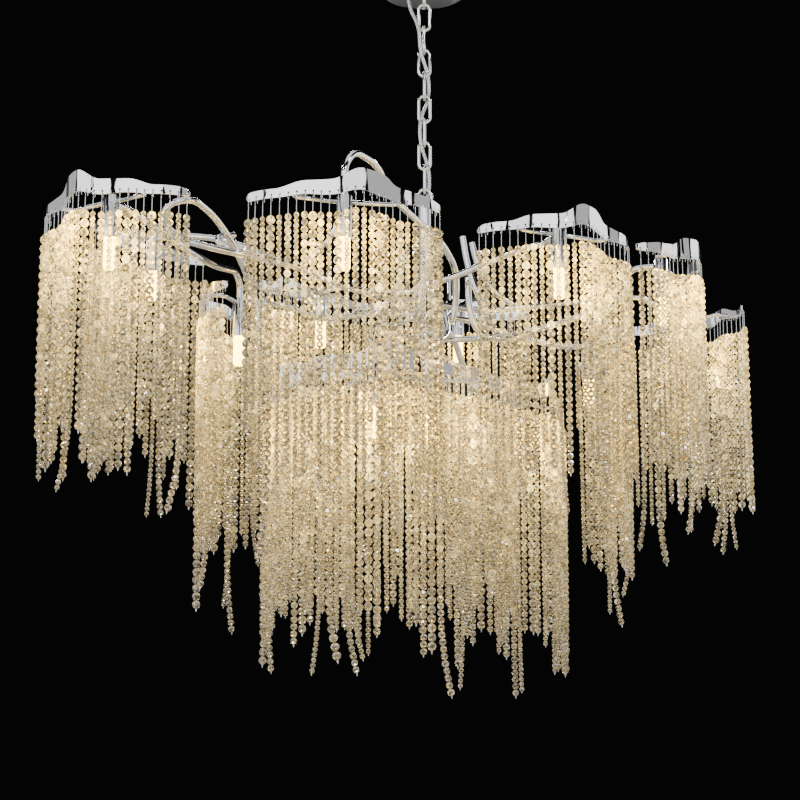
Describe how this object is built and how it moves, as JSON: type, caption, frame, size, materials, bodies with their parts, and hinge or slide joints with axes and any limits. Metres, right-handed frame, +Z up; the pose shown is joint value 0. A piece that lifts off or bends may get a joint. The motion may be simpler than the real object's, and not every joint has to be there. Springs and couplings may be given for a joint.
{
  "type": "crystal chandelier",
  "caption": "Oval crystal chandelier: curved mirror plates on bent chrome tubes, each hung with a curtain of bead strands round a warm capsule lamp, on a short ceiling chain.",
  "frame": {"origin": "middle of the ceiling bracket's upper face, on the ceiling plane", "axes": "+Z up, the lamp hangs down -Z; X is the long way of the oval of plates"},
  "size_m": [1.0107, 0.5491, 0.9495],
  "materials": {
    "chromed_metal": "polished chrome plate",
    "chain": "polished chrome plate",
    "ceiling_bracket": "zinc-plated",
    "plate": "mirror polish",
    "curtain": "clear cut crystal",
    "strand_hooks": "drawn wire",
    "lamp_holders": "polished chrome plate",
    "bulb": "clear glass, lit warm",
    "power_cable": "clear sleeve"
  },
  "bodies": {
    "ceiling_mount": {"ceiling_bracket": "ceiling_bracket", "canopy": "chromed_metal", "canopy_loop": "chromed_metal", "power_cable": "power_cable"},
    "link_1": {"chain_link_1": "chain"},
    "link_2": {"chain_link_2": "chain"},
    "link_3": {"chain_link_3": "chain"},
    "link_4": {"chain_link_4": "chain"},
    "link_5": {"chain_link_5": "chain"},
    "link_6": {"chain_link_6": "chain"},
    "link_7": {"chain_link_7": "chain"},
    "link_8": {"chain_link_8": "chain"},
    "lamp": {"stem_loop": "chromed_metal", "stem": "chromed_metal", "hub": "chromed_metal", "arms": "chromed_metal", "strand_hooks": "strand_hooks", "lamp_holders": "lamp_holders", "plate_left_end": "plate", "curtain_left_end": "curtain", "plate_left_front": "plate", "curtain_left_front": "curtain", "plate_middle_front": "plate", "curtain_middle_front": "curtain", "plate_right_front": "plate", "curtain_right_front": "curtain", "plate_right_end": "plate", "curtain_right_end": "curtain", "plate_right_back": "plate", "curtain_right_back": "curtain", "plate_middle_back": "plate", "curtain_middle_back": "curtain", "plate_left_back": "plate", "curtain_left_back": "curtain", "plate_left_inner": "plate", "curtain_left_inner": "curtain", "plate_right_inner": "plate", "curtain_right_inner": "curtain", "plate_low_left": "plate", "curtain_low_left": "curtain", "plate_low_front_left": "plate", "curtain_low_front_left": "curtain", "plate_low_front": "plate", "curtain_low_front": "curtain", "plate_low_right": "plate", "curtain_low_right": "curtain"},
    "capsule_left_end": {"bulb_left_end": "bulb"},
    "capsule_left_front": {"bulb_left_front": "bulb"},
    "capsule_middle_front": {"bulb_middle_front": "bulb"},
    "capsule_right_front": {"bulb_right_front": "bulb"},
    "capsule_right_end": {"bulb_right_end": "bulb"},
    "capsule_right_back": {"bulb_right_back": "bulb"},
    "capsule_middle_back": {"bulb_middle_back": "bulb"},
    "capsule_left_back": {"bulb_left_back": "bulb"},
    "capsule_left_inner": {"bulb_left_inner": "bulb"},
    "capsule_right_inner": {"bulb_right_inner": "bulb"},
    "capsule_low_left": {"bulb_low_left": "bulb"},
    "capsule_low_front_left": {"bulb_low_front_left": "bulb"},
    "capsule_low_front": {"bulb_low_front": "bulb"},
    "capsule_low_right": {"bulb_low_right": "bulb"}
  },
  "joints": [
    {"name": "chain_hinge_1", "type": "hinge", "parent": "ceiling_mount", "child": "link_1", "pos_m": [0, 0, -0.049], "axis": [0.6293, 0.7771, 0], "range_deg": [-6, 6], "deforming": ["power_cable"]},
    {"name": "chain_hinge_2", "type": "hinge", "parent": "link_1", "child": "link_2", "pos_m": [0, 0, -0.0807], "axis": [0.7771, -0.6293, 0], "range_deg": [-6, 6]},
    {"name": "chain_hinge_3", "type": "hinge", "parent": "link_2", "child": "link_3", "pos_m": [0, 0, -0.1124], "axis": [0.6293, 0.7771, 0], "range_deg": [-6, 6]},
    {"name": "chain_hinge_4", "type": "hinge", "parent": "link_3", "child": "link_4", "pos_m": [0, 0, -0.1441], "axis": [0.7771, -0.6293, 0], "range_deg": [-6, 6]},
    {"name": "chain_hinge_5", "type": "hinge", "parent": "link_4", "child": "link_5", "pos_m": [0, 0, -0.1758], "axis": [0.6293, 0.7771, 0], "range_deg": [-6, 6]},
    {"name": "chain_hinge_6", "type": "hinge", "parent": "link_5", "child": "link_6", "pos_m": [0, 0, -0.2075], "axis": [0.7771, -0.6293, 0], "range_deg": [-6, 6]},
    {"name": "chain_hinge_7", "type": "hinge", "parent": "link_6", "child": "link_7", "pos_m": [0, 0, -0.2392], "axis": [0.6293, 0.7771, 0], "range_deg": [-6, 6]},
    {"name": "chain_hinge_8", "type": "hinge", "parent": "link_7", "child": "link_8", "pos_m": [0, 0, -0.2709], "axis": [0.7771, -0.6293, 0], "range_deg": [-6, 6]},
    {"name": "chain_hinge_9", "type": "hinge", "parent": "link_8", "child": "lamp", "pos_m": [0, 0, -0.3026], "axis": [0.6293, 0.7771, 0], "range_deg": [-6, 6]},
    {"name": "capsule_left_end_pull", "type": "slide", "parent": "lamp", "child": "capsule_left_end", "axis": [0, 0, -1], "range_m": [0, 0.03]},
    {"name": "capsule_left_front_pull", "type": "slide", "parent": "lamp", "child": "capsule_left_front", "axis": [0, 0, -1], "range_m": [0, 0.03]},
    {"name": "capsule_middle_front_pull", "type": "slide", "parent": "lamp", "child": "capsule_middle_front", "axis": [0, 0, -1], "range_m": [0, 0.03]},
    {"name": "capsule_right_front_pull", "type": "slide", "parent": "lamp", "child": "capsule_right_front", "axis": [0, 0, -1], "range_m": [0, 0.03]},
    {"name": "capsule_right_end_pull", "type": "slide", "parent": "lamp", "child": "capsule_right_end", "axis": [0, 0, -1], "range_m": [0, 0.03]},
    {"name": "capsule_right_back_pull", "type": "slide", "parent": "lamp", "child": "capsule_right_back", "axis": [0, 0, -1], "range_m": [0, 0.03]},
    {"name": "capsule_middle_back_pull", "type": "slide", "parent": "lamp", "child": "capsule_middle_back", "axis": [0, 0, -1], "range_m": [0, 0.03]},
    {"name": "capsule_left_back_pull", "type": "slide", "parent": "lamp", "child": "capsule_left_back", "axis": [0, 0, -1], "range_m": [0, 0.03]},
    {"name": "capsule_left_inner_pull", "type": "slide", "parent": "lamp", "child": "capsule_left_inner", "axis": [0, 0, -1], "range_m": [0, 0.03]},
    {"name": "capsule_right_inner_pull", "type": "slide", "parent": "lamp", "child": "capsule_right_inner", "axis": [0, 0, -1], "range_m": [0, 0.03]},
    {"name": "capsule_low_left_pull", "type": "slide", "parent": "lamp", "child": "capsule_low_left", "axis": [0, 0, -1], "range_m": [0, 0.03]},
    {"name": "capsule_low_front_left_pull", "type": "slide", "parent": "lamp", "child": "capsule_low_front_left", "axis": [0, 0, -1], "range_m": [0, 0.03]},
    {"name": "capsule_low_front_pull", "type": "slide", "parent": "lamp", "child": "capsule_low_front", "axis": [0, 0, -1], "range_m": [0, 0.03]},
    {"name": "capsule_low_right_pull", "type": "slide", "parent": "lamp", "child": "capsule_low_right", "axis": [0, 0, -1], "range_m": [0, 0.03]}
  ]
}
